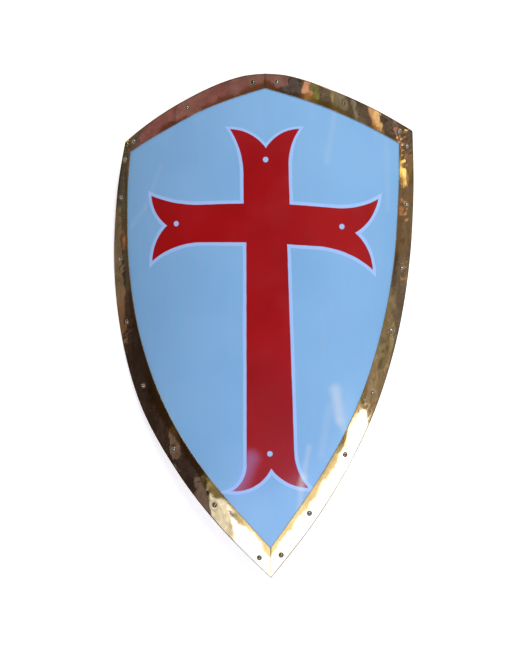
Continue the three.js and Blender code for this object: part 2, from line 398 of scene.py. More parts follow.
def smoothed_corner(edge):
    """The edge with its corner rounded: near it, each point moves to the mean of its neighbours."""
    run = run_along(edge)
    reach = np.abs(run - run[TOP_STEPS])
    rounded = edge.copy()
    for i in np.flatnonzero(reach < 3 * CORNER_ROUNDING):
        weight = np.exp(-(((run - run[i]) / (0.6 * CORNER_ROUNDING)) ** 2))
        rounded[i] = (edge * weight[:, None]).sum(0) / weight.sum()
    share = np.clip(1 - reach / (3 * CORNER_ROUNDING), 0, 1)[:, None]
    return edge * (1 - share) + rounded * share


def inward(outer, inner):
    """Steps inwards from the outer edge, mitred: each moves the edge in by one millimetre.

    Away from the seams the step is the edge's own normal. Towards a seam it turns into the seam's line.
    """
    normal = quarter_turned(unit(np.gradient(outer, axis=0)))
    normal *= np.sign(((inner - outer) * normal).sum(1))[:, None]
    seam_line = np.stack((0 * outer[:, 0], np.where(np.arange(len(outer)) < TOP_STEPS, -1, 1)), axis=1)
    from_seam = np.abs(outer[:, 0] - CENTRE_LINE)
    share = np.clip(1 - from_seam / SEAM_MITRE, 0, 1)[:, None]
    share = share * share * (3 - 2 * share)
    step = unit(normal * (1 - share) + seam_line * share)
    return step / (step * normal).sum(1)[:, None]


EDGES = {}
for half_name, half_shape in HALVES.items():
    outer_edge, inner_edge = border_edges(half_shape)
    outer_edge = smoothed_corner(outer_edge)
    EDGES[half_name] = {"outer": outer_edge, "inner": inner_edge, "step": inward(outer_edge, inner_edge)}


def rivet_seats(half_name):
    """The s, t of each rivet of a half, read from the middle of its own node."""
    seats = []
    for i in range(RIVETS_PER_HALF):
        low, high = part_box(f"rivet_{half_name}_{i + 1:02d}")
        seats.append(to_sheet((np.array(low) + np.array(high)) / 2)[:2])
    return np.array(seats)


SEATS = {half_name: rivet_seats(half_name) for half_name in HALVES}


# Hand work: how far the brass and the plate stand off their true surface
def waves(s, t, seed, count, longest, shortest):
    """A sum of count plane waves over the sheet with random directions, lengths and phases, from -1 to 1."""
    draw = np.random.default_rng(seed)
    total = 0
    for _ in range(count):
        heading = draw.uniform(0, math.pi)
        wavelength = math.exp(draw.uniform(math.log(shortest), math.log(longest)))
        phase = draw.uniform(0, 2 * math.pi)
        ahead = s * math.cos(heading) + t * math.sin(heading)
        total = total + np.sin(2 * math.pi * ahead / wavelength + phase)
    return total / math.sqrt(count) / 1.5


def brass_relief(s, t, half_name):
    """Dents of the brass in millimetres: long and short waves that fade at the smooth places, a dimple
    round each rivet, and creases that fan round the corner where the sheet was gathered."""
    relief = 0.12 * waves(s, t, 11, 7, 90, 34) + 0.03 * waves(s, t, 12, 9, 26, 11)
    for smooth_half, middle_s, middle_t, radius in SMOOTH_PLACES:
        if smooth_half == half_name:
            away = np.hypot(s - middle_s, t - middle_t)
            relief = relief * (1 - 0.9 * np.exp(-((away / radius) ** 4)))
    for seat_s, seat_t in SEATS[half_name]:
        away = np.hypot(s - seat_s, t - seat_t)
        relief = relief - 0.14 * np.exp(-((away / 5) ** 2))
    ripples = waves(s, t, 14, 9, 18, 7)
    for crumpled_half, middle_s, middle_t, radius, depth in CRUMPLES:
        if crumpled_half == half_name:
            away = np.hypot(s - middle_s, t - middle_t)
            relief = relief + depth * ripples * np.exp(-((away / radius) ** 2))
    half = HALVES[half_name]
    corner_s, corner_t = half["corner"][0] * half["side"], half["corner"][1]
    away = np.hypot(s - corner_s, t - corner_t)
    fan = np.arctan2(t - corner_t, s - corner_s)
    creases = np.sin(13 * fan + 0.25 * away) + 0.7 * waves(s, t, 13, 8, 16, 6)
    return relief + half["gathers"] * creases * np.exp(-((away / 24) ** 2)) * np.clip(away / 8, 0, 1)


def border_piece(half_name):
    """One half of the border as a closed folded sheet.

    At each station along the edge, the skin runs from the inner edge out along the face, round the
    fold (a squared half circle about the plate's middle) and back in behind. A second skin lies one
    thickness inside the first, and the two are joined along their rims and at both seams.
    """
    side = HALVES[half_name]["side"]
    outer, inner, step = (EDGES[half_name][key] for key in ("outer", "inner", "step"))
    fold = np.linspace(0, math.pi, FOLD_STEPS + 1)
    lift = np.sign(np.cos(fold)) * np.abs(np.cos(fold)) ** FOLD_SQUARENESS
    reach = np.sin(fold) ** FOLD_SQUARENESS
    leg = 1 - np.linspace(1, 0, LEG_STEPS, endpoint=False) ** 1.25
    leg = leg / leg[-1] * (1 - 0.4 / LEG_STEPS)
    leg[1] = RIM_SHARE
    fold_start = outer + FOLD_OUTSIDE * step
    skins = []
    for radius in (FOLD_OUTSIDE, FOLD_INSIDE):
        face = inner[:, None] + (fold_start - inner)[:, None] * leg[None, :, None]
        turn = fold_start[:, None] - step[:, None] * (radius * reach)[None, :, None]
        place = np.concatenate((face, turn, face[:, ::-1]), axis=1)
        heights = np.concatenate((np.full(LEG_STEPS, radius), radius * lift, np.full(LEG_STEPS, -radius)))
        out = np.broadcast_to(heights - PLATE / 2, place.shape[:2]).copy()
        skins.append((place, out))
    count = skins[0][0].shape[1]
    in_front = np.arange(count) < LEG_STEPS + FOLD_STEPS // 2
    points = []
    sheets = []
    for place, out in skins:
        s, t = place[..., 0], place[..., 1]
        from_inner = length(place - inner[:, None])
        from_outer = length(place - outer[:, None])
        width = length(fold_start - inner)[:, None]
        crown = 0.16 * np.sin(math.pi * np.clip(from_inner / width, 0, 1))
        held = np.clip(from_inner / 9, 0, 1) * np.clip(from_outer / 5, 0.2, 1)
        raised = np.clip(crown + held * brass_relief(s, t, half_name), -0.05, None)
        out = out + np.where(in_front, raised, 0)
        s = CENTRE_LINE + side * np.maximum(side * (s - CENTRE_LINE), SEAM)
        points.append(np.clip(on_sheet(s, t, out), *np.array(CAD_BOX)))
        sheets.append(np.stack((s, t, from_inner, from_outer), axis=-1))
    ring = np.concatenate((points[0], points[1][:, ::-1]), axis=1)
    sheet = np.concatenate((sheets[0], sheets[1][:, ::-1]), axis=1)
    stations, around = ring.shape[:2]
    faces = [grid_faces(stations, around, close_columns=True)]
    j = np.arange(count - 1)
    for station in (0, stations - 1):
        first = station * around
        cap = np.stack((first + j, first + j + 1, first + around - 2 - j, first + around - 1 - j), axis=1)
        faces.append(cap if station == 0 else cap[:, ::-1])
    piece = make_mesh(f"folded_brass_{half_name}", ring.reshape(-1, 3), np.vstack(faces))
    sheet = sheet.reshape(-1, 4)
    nearest = length(sheet[:, None, :2] - SEATS[half_name]).min(1)
    store(piece, "sheet", sheet[:, :3] * MM)
    store(piece, "from_outer", sheet[:, 3] * MM)
    store(piece, "from_rivet", nearest * MM)
    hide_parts(f"brass_border_{half_name}")
    return piece


# Plate
def flare_distance(p, root, start, tip):
    """How far inside an arm's side edge each point is: the distance to a half line less the arc's radius.

    The edge is straight from root to start, then bends away in the arc that passes through the tip.
    """
    root, start, tip = (np.array(v, float) for v in (root, start, tip))
    ahead = unit(start - root)
    aside = quarter_turned(ahead)
    bend = tip - start
    aside *= np.sign(bend @ aside)
    radius = bend @ bend / (2 * bend @ aside)
    q = p - (start + radius * aside)
    return np.hypot(np.maximum(q @ ahead, 0), np.minimum(q @ aside, 0)) - radius


def bulge_distance(p, tip, notch, bulge, out):
    """How far inside an arm's end each point is: the radius of the arc from tip to notch, which bulges
    out by bulge, less the distance to its centre, or to the line behind its centre."""
    tip, notch, out = (np.array(v, float) for v in (tip, notch, out))
    chord = notch - tip
    normal = quarter_turned(unit(chord))
    normal *= np.sign(normal @ out)
    radius = (chord @ chord / 4 + bulge**2) / (2 * bulge)
    q = p - ((tip + notch) / 2 - normal * (radius - bulge))
    return radius - np.hypot(q @ quarter_turned(out), np.maximum(q @ out, 0))


def arm_distances(s, t, arm):
    """For one arm of the cross: inside its sides, inside its first end arc, inside its second one."""
    p = np.stack((s, t), axis=-1)
    behind = (p - CROSS_CENTRE) @ np.array(arm["out"], float) + ARM_OVERLAP
    sides = np.minimum.reduce([flare_distance(p, *edge) for edge in arm["edges"]] + [behind])
    ends = [bulge_distance(p, edge[2], arm["notch"], bulge, arm["out"])
            for edge, bulge in zip(arm["edges"], arm["bulges"])]
    return np.stack((sides, *ends), axis=-1)


def plate_piece():
    """The rolled plate, a patch between its left side, right side and top edge.

    Row v joins the left side to the right side at the share v of the way up, and bows upwards by v
    times the bow of the top edge. Its front and its back skin share one rim.
    """
    edge = {name: e["outer"] + PLATE_INSET * e["step"] for name, e in EDGES.items()}
    up = np.linspace(0, 1, PLATE_ROWS)
    across = np.linspace(0, 1, PLATE_COLUMNS)
    share = np.linspace(0, 1, SIDE_STEPS + 1)
    left, right = (read_off(edge[name][TOP_STEPS:][::-1], share, up) for name in ("left", "right"))
    top = np.vstack((edge["left"][TOP_STEPS::-1], edge["right"][1:TOP_STEPS + 1]))
    top = read_off(top, np.linspace(0, 1, len(top)), across)
    bow = top - (left[-1] + (right[-1] - left[-1]) * across[:, None])
    u, v = across[None, :, None], up[:, None, None]
    flat = left[:, None] * (1 - u) + right[:, None] * u + bow[None] * v**1.5
    flat[0] = flat[0].mean(0)
    s, t = flat[..., 0], flat[..., 1]
    inside = np.minimum(np.sin(math.pi * across)[None, :] * 3, np.minimum(up * 8, (1 - up) * 8)[:, None])
    uneven = 0.1 * waves(s, t, 21, 8, 240, 90) * np.clip(inside, 0, 1)
    points = np.stack((on_sheet(s, t, uneven), on_sheet(s, t, uneven - PLATE))).reshape(-1, 3)
    count = s.size
    skin = grid_faces(PLATE_ROWS, PLATE_COLUMNS)
    number = np.arange(count).reshape(s.shape)
    rim = np.concatenate((number[:, -1], number[-1, -2::-1], number[-2::-1, 0]))
    wall = np.stack((rim[:-1], rim[1:], rim[1:] + count, rim[:-1] + count), axis=1)
    tip_merged = np.arange(len(points))
    tip_merged[:PLATE_COLUMNS] = 0
    tip_merged[count:count + PLATE_COLUMNS] = count
    faces = tip_merged[np.vstack((skin[:, ::-1], skin + count, wall[:, ::-1]))]
    used, renumbered = np.unique(faces, return_inverse=True)
    piece = make_mesh("painted_plate", points[used], renumbered.reshape(-1, 4))
    s, t = (np.tile(v.ravel(), 2)[used] for v in (s, t))
    for name, arm in ARMS.items():
        store(piece, name, arm_distances(s, t, arm) * MM)
    store(piece, "sheet", np.stack((s, t, 0 * s), axis=1) * MM)
    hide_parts("steel_plate")
    return piece


# Rivets
RIVET_PROFILE = (
    (0.8, 1.43), (1.5, 1.2), (2.1, 0.83), (2.55, 0.4), (2.75, 0.05), (2.7, -0.06),
    (1.6, -0.06), (1.6, -4.0), (2.45, -4.02), (2.55, -4.25), (2.2, -4.7), (1.3, -4.95),
)
RIVET_SIDES = 28
RIVET_LIFT = 0.28


def rivet_piece(half_name, i):
    """A hammered rivet: its profile turned about its axis, a little out of round and off level, and left
    open in the middle of its head and of its tail."""
    draw = np.random.default_rng(100 * (HALVES[half_name]["side"] + 2) + i)
    radius, height = np.array(RIVET_PROFILE).T
    turn = np.arange(RIVET_SIDES) * 2 * math.pi / RIVET_SIDES
    lobes, phase = draw.integers(2, 4), draw.uniform(0, 2 * math.pi)
    grow = 1 + 0.035 * np.cos(lobes * turn + phase)[None]
    x, y = radius[:, None] * grow * np.cos(turn), radius[:, None] * grow * np.sin(turn)
    tip_slope = draw.normal(0, 0.035, 2)
    z = height[:, None] + x * tip_slope[0] + y * tip_slope[1]
    points, faces = tube(np.stack((x, y, z), axis=-1))
    points = seated(points, *SEATS[half_name][i], GAP + BRASS + RIVET_LIFT)
    piece = make_mesh(f"domed_rivet_{half_name}_{i + 1:02d}", points, faces)
    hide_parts(f"rivet_{half_name}_{i + 1:02d}")
    return piece


# Straps
EYE = EYE_RADIUS + LEATHER / 2


def hang(y, strap):
    """The height of a strap's middle line at y, which hangs behind the plate in a raised cosine."""
    return -STAPLE_STAND - EYE - strap["drop"] / 2 * (1 + np.cos(math.pi * y / strap["half_length"]))


def strap_route(strap):
    """The middle line of the leather from one doubled-back end, round its staple, along the raised-cosine
    bow, round the other staple and back: y along the strap and z outwards, in even steps."""
    half = strap["half_length"]
    near, far = half - FOLD_TAPER, half - FOLD_TAPER - FOLD_BACK
    tail_y = np.linspace(far, near, 14)
    tail = np.stack((tail_y, hang(tail_y, strap) + LEATHER + 0.06), axis=1)
    x = np.linspace(0, 1, 12)[1:-1]
    ease = x * x * (3 - 2 * x)
    top = -STAPLE_STAND + EYE
    rise = np.stack((near + (half - near) * x, tail[-1, 1] + (top - tail[-1, 1]) * ease), axis=1)
    turn = np.linspace(math.pi / 2, -math.pi / 2, 16)
    loop = np.stack((half + EYE * np.cos(turn), -STAPLE_STAND + EYE * np.sin(turn)), axis=1)
    upper = np.vstack((tail, rise, loop))
    bow_y = np.linspace(half, -half, 60)[1:-1]
    bow = np.stack((bow_y, hang(bow_y, strap)), axis=1)
    return evenly(np.vstack((upper, bow, upper[::-1] * (-1, 1))), STRAP_POINTS)


def strap_section():
    """A leather strap's section: a flat band with rounded edges, as across and through shares."""
    corner = np.linspace(0, math.pi / 2, 5)
    radius = 1.1
    side, face = STRAP_WIDTH / 2 - radius, LEATHER / 2 - radius
    arc = np.stack((side + radius * np.sin(corner), face + radius * np.cos(corner)), axis=1)
    flat = np.stack((np.linspace(-side, side, 15)[1:-1], np.full(13, LEATHER / 2)), axis=1)
    lower = np.vstack((arc[::-1] * (1, -1), flat[::-1] * (1, -1), arc * (-1, -1)))
    return np.vstack((flat, arc, lower, arc[::-1] * (-1, 1)))


def swept(path, across, through):
    """Rings of points from a section carried along a flat path and square to it. across is the section's
    measure out of the path's plane, which comes first in each point, and through the one in the plane."""
    normal = quarter_turned(unit(np.gradient(path, axis=0)))
    in_plane = path[:, None] + normal[:, None] * through[..., None]
    return np.concatenate((across[..., None], in_plane), axis=-1)


def strap_piece(name, strap):
    """The strap's section carried along its route, a little narrower in its middle, closed at both ends."""
    route = strap_route(strap)
    section = strap_section()
    run = np.linspace(0, 1, len(route))
    narrow = 1 - 0.05 * np.exp(-(((run - 0.5) / 0.12) ** 2))
    across = section[None, :, 0] * narrow[:, None]
    points, faces = tube(swept(route, across, section[None, :, 1]), closed=True)
    points = seated(points, strap["across"], STRAP_MIDDLE, -PLATE)
    piece = make_mesh(f"leather_{name}_strap", points, faces)
    lengthwise = np.concatenate((np.repeat(run * len(route), len(section)), (0, len(route))))
    sideways = np.concatenate((across.ravel(), (0, 0)))
    store(piece, "along", np.stack((sideways, lengthwise * 1.4, 0 * lengthwise), axis=1) * MM)
    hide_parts(f"{name}_strap")
    return piece


def stitch_points(places, directions):
    """One stitch at each place: a small rounded bar, six-sided with pointed ends, along its direction."""
    profile = np.array(((-2.0, 0.1), (-1.4, 0.42), (0, 0.5), (1.4, 0.42), (2.0, 0.1)))
    turn = np.arange(6) * math.pi / 3
    x = profile[:, None, 1] * np.cos(turn)
    z = 0.75 * profile[:, None, 1] * np.sin(turn)
    y = np.broadcast_to(profile[:, None, 0], x.shape)
    side = np.array((1.0, 0, 0))
    up = np.cross(side, directions)
    shape = (x[None, ..., None] * side + y[None, ..., None] * directions[:, None, None]
             + z[None, ..., None] * up[:, None, None] + places[:, None, None])
    one = grid_faces(len(profile), 6, close_columns=True)
    ends = np.array(((5, 4, 3, 2), (5, 2, 1, 0), (24, 25, 26, 27), (24, 27, 28, 29)))
    one = np.vstack((one, ends))
    count = len(profile) * 6
    faces = (np.arange(len(places))[:, None, None] * count + one).reshape(-1, 4)
    return shape.reshape(-1, 3), faces


def stitching_piece(name, strap):
    """Two rows of stitches through the doubled ends of a strap, on both of its faces."""
    half = strap["half_length"]
    near = half - FOLD_TAPER
    y = np.linspace(near - FOLD_BACK + 4, near - 1, 6)
    slope = strap["drop"] / 2 * math.pi / half * np.sin(math.pi * y / half)
    direction = unit(np.stack((0 * y, np.ones_like(y), slope), axis=1))
    normal = unit(np.stack((0 * y, -slope, np.ones_like(y)), axis=1))
    places, directions = [], []
    for end in (1, -1):
        flip = np.array((1, end, 1))
        for x in (-STRAP_WIDTH / 2 + 4, STRAP_WIDTH / 2 - 4):
            for lift in (LEATHER * 1.5 + 0.12, -LEATHER / 2 - 0.06):
                place = np.stack((np.full_like(y, x), y, hang(y, strap)), axis=1) + lift * normal
                places.append(place * flip)
                directions.append(direction * flip)
    points, faces = stitch_points(np.vstack(places), np.vstack(directions))
    points = seated(points, strap["across"], STRAP_MIDDLE, -PLATE)
    return make_mesh(f"{name}_strap_stitches", points, faces)


def staple_piece(name, strap, where, end):
    """A square bar swept along a U with rounded bends, its feet open, and spread in a weld at the plate."""
    inside, stand, bar = STAPLE_INSIDE / 2, STAPLE_STAND, STAPLE_BAR
    leg = inside + bar / 2
    bend = 3.2
    foot = -(inside + bar) ** 2 / (2 * ROLL_RADIUS) - GAP
    turn = np.linspace(0, math.pi / 2, 8)
    legs = np.linspace(foot, -stand + bend, 8)[:-1]
    down = np.stack((np.full(7, -leg), legs), axis=1)
    corner = np.stack((-leg + bend - bend * np.cos(turn), -stand + bend - bend * np.sin(turn)), axis=1)
    half_path = np.vstack((down, corner))
    path = np.vstack((half_path, half_path[::-1] * (-1, 1)))
    turn = np.arange(16) * math.pi / 8 + math.pi / 16
    rounded = np.stack((np.cos(turn), np.sin(turn)))
    through, across = 0.5 * bar * np.sign(rounded) * np.abs(rounded) ** 0.45
    from_foot = np.abs(path[:, 1] - foot)
    spread = 1 + 0.35 * np.exp(-((from_foot[:, None] / 0.9) ** 2))
    points, faces = tube(swept(path, across * spread, through * spread)[..., [1, 0, 2]])
    points[:, 1] += end * strap["half_length"]
    points = seated(points, strap["across"], STRAP_MIDDLE, -PLATE)
    piece = make_mesh(f"staple_{name}_{where}", points, faces)
    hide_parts(f"strap_loop_{name}_{where}")
    return piece


# Materials
class Nodes:
    """A node tree, with a short way to add nodes and join them."""

    def __init__(self, owner):
        owner.use_nodes = True
        self.tree = owner.node_tree
        self.tree.nodes.clear()

    def put(self, socket, value):
        if isinstance(value, bpy.types.NodeSocket):
            self.tree.links.new(value, socket)
        elif value is not None:
            socket.default_value = value

    def node(self, kind, *values, out=0, named=None, **settings):
        """A node of that kind, and its output. Its first inputs and the named ones are set or joined."""
        made = self.tree.nodes.new("ShaderNode" + kind)
        for key, value in settings.items():
            setattr(made, key, value)
        for socket, value in zip(made.inputs, values):
            self.put(socket, value)
        for name, value in (named or {}).items():
            self.put(made.inputs[name], value)
        return made.outputs[out]

    def show(self, kind, surface):
        """Joins a surface to the output node of that kind."""
        self.put(self.tree.nodes.new("ShaderNodeOutput" + kind).inputs["Surface"], surface)

    def math(self, operation, *values):
        """The operation on one or two values, or on more of them one after the other."""
        while len(values) > 2:
            values = (self.node("Math", *values[:2], operation=operation), *values[2:])
        return self.node("Math", *values, operation=operation)

    def times(self, *values):
        return self.math("MULTIPLY", *values)

    def attribute(self, name, out="Vector"):
        return self.node("Attribute", attribute_name=name, out=out)

    def range(self, value, low, high, to_low=0.0, to_high=1.0):
        return self.node("MapRange", value, low, high, to_low, to_high, interpolation_type="SMOOTHSTEP")

    def noise(self, place, scale, detail=3.0, rough=0.5):
        named = {"Vector": place, "Scale": scale, "Detail": detail, "Roughness": rough}
        return self.node("TexNoise", out="Fac", named=named)

    def waver(self, place, scale, detail, reach, rough=0.5):
        """A noise about nought that spans about reach."""
        return self.times(self.math("SUBTRACT", self.noise(place, scale, detail, rough), 0.5), reach)

    def stretched(self, place, *scale):
        return self.node("Mapping", named={"Vector": place, "Scale": scale})

    def mix(self, share, a, b):
        a, b = ((*v, 1) if isinstance(v, tuple) else v for v in (a, b))
        named = {"Factor": share, "A": a, "B": b}
        return self.node("Mix", out="Result", named=named, data_type="RGBA")

    def bump(self, height, distance, strength=1.0, under=None):
        named = {"Strength": strength, "Distance": distance, "Height": height, "Normal": under}
        return self.node("Bump", named=named)

    def from_line(self, sheet, start, end):
        """How far a place on the sheet is from the straight piece between two places in millimetres."""
        a, b = ((s * MM, t * MM, 0) for s, t in (start, end))
        ahead = tuple(q - p for p, q in zip(a, b))
        length_squared = sum(v * v for v in ahead)
        offset = self.node("VectorMath", sheet, a, operation="SUBTRACT")
        share = self.node("VectorMath", offset, ahead, operation="DOT_PRODUCT", out="Value")
        share = self.node("Clamp", self.math("DIVIDE", share, length_squared))
        foot = self.node("VectorMath", ahead, operation="SCALE", named={"Scale": share})
        return self.node("VectorMath", offset, foot, operation="DISTANCE", out="Value")

    def parts(self, vector):
        made = self.tree.nodes.new("ShaderNodeSeparateXYZ")
        self.put(made.inputs[0], vector)
        return made.outputs[:]


class Finish(Nodes):
    """A material with one principled shader."""

    def __init__(self, name):
        self.material = bpy.data.materials.new(name)
        super().__init__(self.material)
        self.shader = self.tree.nodes.new("ShaderNodeBsdfPrincipled")
        self.show("Material", self.shader.outputs["BSDF"])

    def set(self, **sockets):
        for name, value in sockets.items():
            self.put(self.shader.inputs[name.replace("_", " ").title().replace("Ior", "IOR")], value)


BLUE = (0.232, 0.466, 0.722)
BLUE_DEEP = (0.211, 0.437, 0.692)
RED = (0.36, 0.0035, 0.004)
RED_DEEP = (0.31, 0.003, 0.0045)
LAVENDER = (0.355, 0.553, 0.87)
DUST = (0.5, 0.53, 0.55)


def cross_paint():
    """Gloss blue enamel with the red cross, its lavender line, the four dots and pale streaks of painted
    reflection.
    """
    f = Finish("enamel_front")
    sheet = f.attribute("sheet")
    arms = []
    for name in ARMS:
        sides, first_end, second_end = f.parts(f.attribute(name))
        arms.append(f.math("MINIMUM", sides, f.math("MAXIMUM", first_end, second_end)))
    inside = f.math("ADD", f.math("MAXIMUM", *arms), f.waver(sheet, 55, 2, 0.9 * MM))
    soft = 0.45 * MM
    red_share = f.range(inside, -soft, soft)
    thin_at_top = f.range(f.parts(sheet)[1], 635 * MM, 665 * MM, 0.0, -1.4 * MM)
    line = f.math("ADD", inside, f.waver(sheet, 18, 2, 2.2 * MM), thin_at_top)
    line_share = f.range(line, -OUTLINE_WIDTH * MM - 2 * soft, -OUTLINE_WIDTH * MM + soft)
    centres = [(s * MM, t * MM, 0) for s, t in DOTS]
    dots = [f.node("VectorMath", sheet, centre, operation="DISTANCE", out="Value") for centre in centres]
    dots = f.math("MINIMUM", *dots)
    dot_share = f.range(dots, (DOT_RADIUS + 0.4) * MM, (DOT_RADIUS - 0.4) * MM)
    cloudy = f.noise(sheet, 6, 3)
    strokes = f.noise(f.stretched(sheet, 90, 9, 1), 1, 3)
    blue = f.mix(f.range(cloudy, 0.35, 0.65), BLUE, BLUE_DEEP)
    blue = f.mix(f.times(f.range(strokes, 0.45, 0.75), 0.05), blue, DUST)
    red = f.mix(f.range(cloudy, 0.4, 0.62), RED, RED_DEEP)
    colour = f.mix(line_share, blue, LAVENDER)
    colour = f.mix(red_share, colour, red)
    colour = f.mix(dot_share, colour, LAVENDER)
    specks = f.range(f.noise(sheet, 420, 2), 0.74, 0.8)
    colour = f.mix(f.times(specks, 0.1), colour, DUST)
    # Pale streaks of painted reflection laid over the enamel's colour, ragged across their width
    across = f.waver(sheet, 40, 3, 5 * MM)
    for start, end, half_width, strength, tint in PAINTED_SHEEN_STREAKS:
        away = f.math("ADD", f.from_line(sheet, start, end), across)
        share = f.range(away, half_width * MM, 0.0, 0.0, strength)
        colour = f.mix(share, colour, tint)
    smudge = f.range(f.noise(sheet, 14, 4, 0.6), 0.4, 0.75, 0.0, 0.14)
    scratch = f.range(f.noise(f.stretched(sheet, 900, 26, 1), 1, 2), 0.68, 0.76, 0.0, 0.22)
    peel = f.bump(f.noise(sheet, 260, 2), 0.02 * MM)
    f.set(base_color=colour, roughness=f.math("ADD", smudge, scratch, 0.3), normal=peel)
    f.set(specular_ior_level=0.25, coat_weight=0.55, coat_roughness=0.07, coat_ior=1.45)
    return f.material


def bare_steel(name, light, dark, rough=0.38):
    """Cold rolled steel with rolling lines, blotches of brown bloom and a few dark specks."""
    f = Finish(name)
    place = f.node("TexCoord", out="Object")
    lines = f.noise(f.stretched(place, 700, 14, 14), 1, 2)
    bloom = f.range(f.noise(place, 17, 5, 0.62), 0.42, 0.7)
    specks = f.range(f.noise(place, 330, 2), 0.66, 0.74)
    colour = f.mix(f.range(lines, 0.3, 0.7), light, tuple(0.78 * c for c in light))
    colour = f.mix(f.times(bloom, 0.75), colour, dark)
    colour = f.mix(f.times(specks, 0.6), colour, (0.03, 0.022, 0.018))
    wear = f.times(bloom, 0.28)
    normal = f.bump(lines, 0.02 * MM, 0.5)
    f.set(base_color=colour, metallic=0.92, roughness=f.math("ADD", wear, rough), normal=normal)
    return f.material


BRASS_BRIGHT = (0.87, 0.71, 0.39)
BRASS_DULL = (0.62, 0.42, 0.19)
BRASS_RED = (0.66, 0.40, 0.24)
BRASS_STAIN = (0.42, 0.26, 0.055)
# Dark grime, also mixed in as painted shade at the fold, the seams and round the rivets
GRIME_AND_SHADE = (0.035, 0.026, 0.018)


def polished_brass():
    """Polished sheet brass: clouds of tarnish, reddish bloom, a ragged golden stain along the inner edge,
    fine rubbing marks, grime by the inner edge, a dark ring of grime and painted shade round each rivet,
    and painted shade at the fold and the seams."""
    f = Finish("sheet_brass")
    sheet = f.attribute("sheet")
    place = f.node("TexCoord", out="Object")
    cloud = f.range(f.noise(place, 11, 5, 0.6), 0.44, 0.72)
    red = f.range(f.noise(f.stretched(place, 1, 1, 3), 5.5, 3), 0.5, 0.68)
    spots = f.range(f.noise(place, 46, 4, 0.65), 0.5, 0.7)
    colour = f.mix(f.times(cloud, 0.6), BRASS_BRIGHT, BRASS_DULL)
    colour = f.mix(f.times(red, 0.35), colour, BRASS_RED)
    colour = f.mix(f.times(spots, 0.45), colour, BRASS_DULL)
    s, t, from_inner = f.parts(sheet)
    low = f.range(t, 330 * MM, 250 * MM)
    high = f.range(t, 640 * MM, 690 * MM)
    patchy = f.range(f.noise(place, 60, 3), 0.3, 0.6, 0.2, 0.65)
    inner_dirt = f.times(f.range(from_inner, 0.9 * MM, 0.4 * MM), f.range(low, 0, 1, 1, 0.3), patchy)
    ragged = f.math("ADD", from_inner, f.waver(place, 16, 5, 62 * MM, 0.66), f.times(low, -6 * MM))
    stain = f.range(ragged, 9 * MM, 2 * MM, 0.0, 0.85)
    stain = f.times(stain, f.range(f.math("MAXIMUM", low, high), 0, 1, 0.3, 1))
    colour = f.mix(stain, colour, BRASS_STAIN)
    # A dark ring round each rivet: grime and painted shade
    rivet_dirt_and_shade = f.range(f.attribute("from_rivet", out="Fac"), 4.7 * MM, 3.5 * MM)
    from_seam = f.math("ABSOLUTE", f.math("SUBTRACT", s, CENTRE_LINE * MM))
    # Painted shade: the colour alone is darkened along the outer fold and at the seams
    painted_edge_shade = f.range(f.attribute("from_outer", out="Fac"), 1.9 * MM, 1.0 * MM, 0.0, 0.85)
    painted_edge_shade = f.math("MAXIMUM", painted_edge_shade, f.range(from_seam, 0.9 * MM, 0.4 * MM, 0.0, 0.6))
    colour = f.mix(painted_edge_shade, colour, GRIME_AND_SHADE)
    pits = f.range(f.noise(place, 240, 3, 0.6), 0.68, 0.76)
    # Grime by the inner edge and in pits, with the dark rivet rings that are partly painted shade
    dirt_and_shade = f.math("MAXIMUM", inner_dirt, f.times(rivet_dirt_and_shade, 0.9), f.times(pits, 0.5))
    colour = f.mix(dirt_and_shade, colour, GRIME_AND_SHADE)
    rubbed = f.noise(f.stretched(place, 620, 60, 620), 1, 2)
    rough = f.math("ADD", f.times(cloud, 0.05), f.range(rubbed, 0.35, 0.7, 0.035, 0.075),
                   f.times(stain, 0.06), f.times(dirt_and_shade, 0.4))
    normal = f.bump(f.noise(place, 120, 3), 0.03 * MM, 0.35)
    normal = f.bump(rubbed, 0.003 * MM, 0.5, under=normal)
    metal = f.math("SUBTRACT", 1.0, f.times(dirt_and_shade, 0.7))
    f.set(base_color=colour, metallic=metal, roughness=rough, normal=normal)
    return f.material


def rivet_steel():
    """Rivet heads: bright where hands rub them, brown in the low places."""
    f = Finish("rivet_steel")
    place = f.node("TexCoord", out="Object")
    hammered = f.noise(place, 900, 2)
    bloom = f.range(f.noise(place, 35, 3), 0.4, 0.65)
    colour = f.mix(bloom, (0.34, 0.32, 0.275), (0.22, 0.175, 0.115))
    normal = f.bump(hammered, 0.03 * MM, 0.5)
    f.set(base_color=colour, metallic=1.0, roughness=0.22, normal=normal)
    return f.material


def oiled_leather():
    """Dark oiled hide: pores, creases across the strap, worn and paler along its edges."""
    f = Finish("oiled_leather")
    along = f.attribute("along")
    edge = f.range(f.math("ABSOLUTE", f.parts(along)[0]), 10.5 * MM, 13.6 * MM)
    pores = f.node("TexVoronoi", out="Distance", named={"Vector": along, "Scale": 900})
    creases = f.noise(f.stretched(along, 60, 420, 1), 1, 4, 0.6)
    patches = f.range(f.noise(along, 45, 4), 0.35, 0.65)
    colour = f.mix(patches, (0.058, 0.028, 0.014), (0.105, 0.05, 0.024))
    colour = f.mix(f.times(edge, 0.55), colour, (0.19, 0.105, 0.055))
    colour = f.mix(f.range(creases, 0.62, 0.72, 0.0, 0.4), colour, (0.03, 0.015, 0.008))
    normal = f.bump(pores, 0.1 * MM, 0.7)
    normal = f.bump(creases, 0.25 * MM, 0.6, under=normal)
    f.set(base_color=colour, roughness=f.range(patches, 0, 1, 0.52, 0.66), normal=normal)
    return f.material


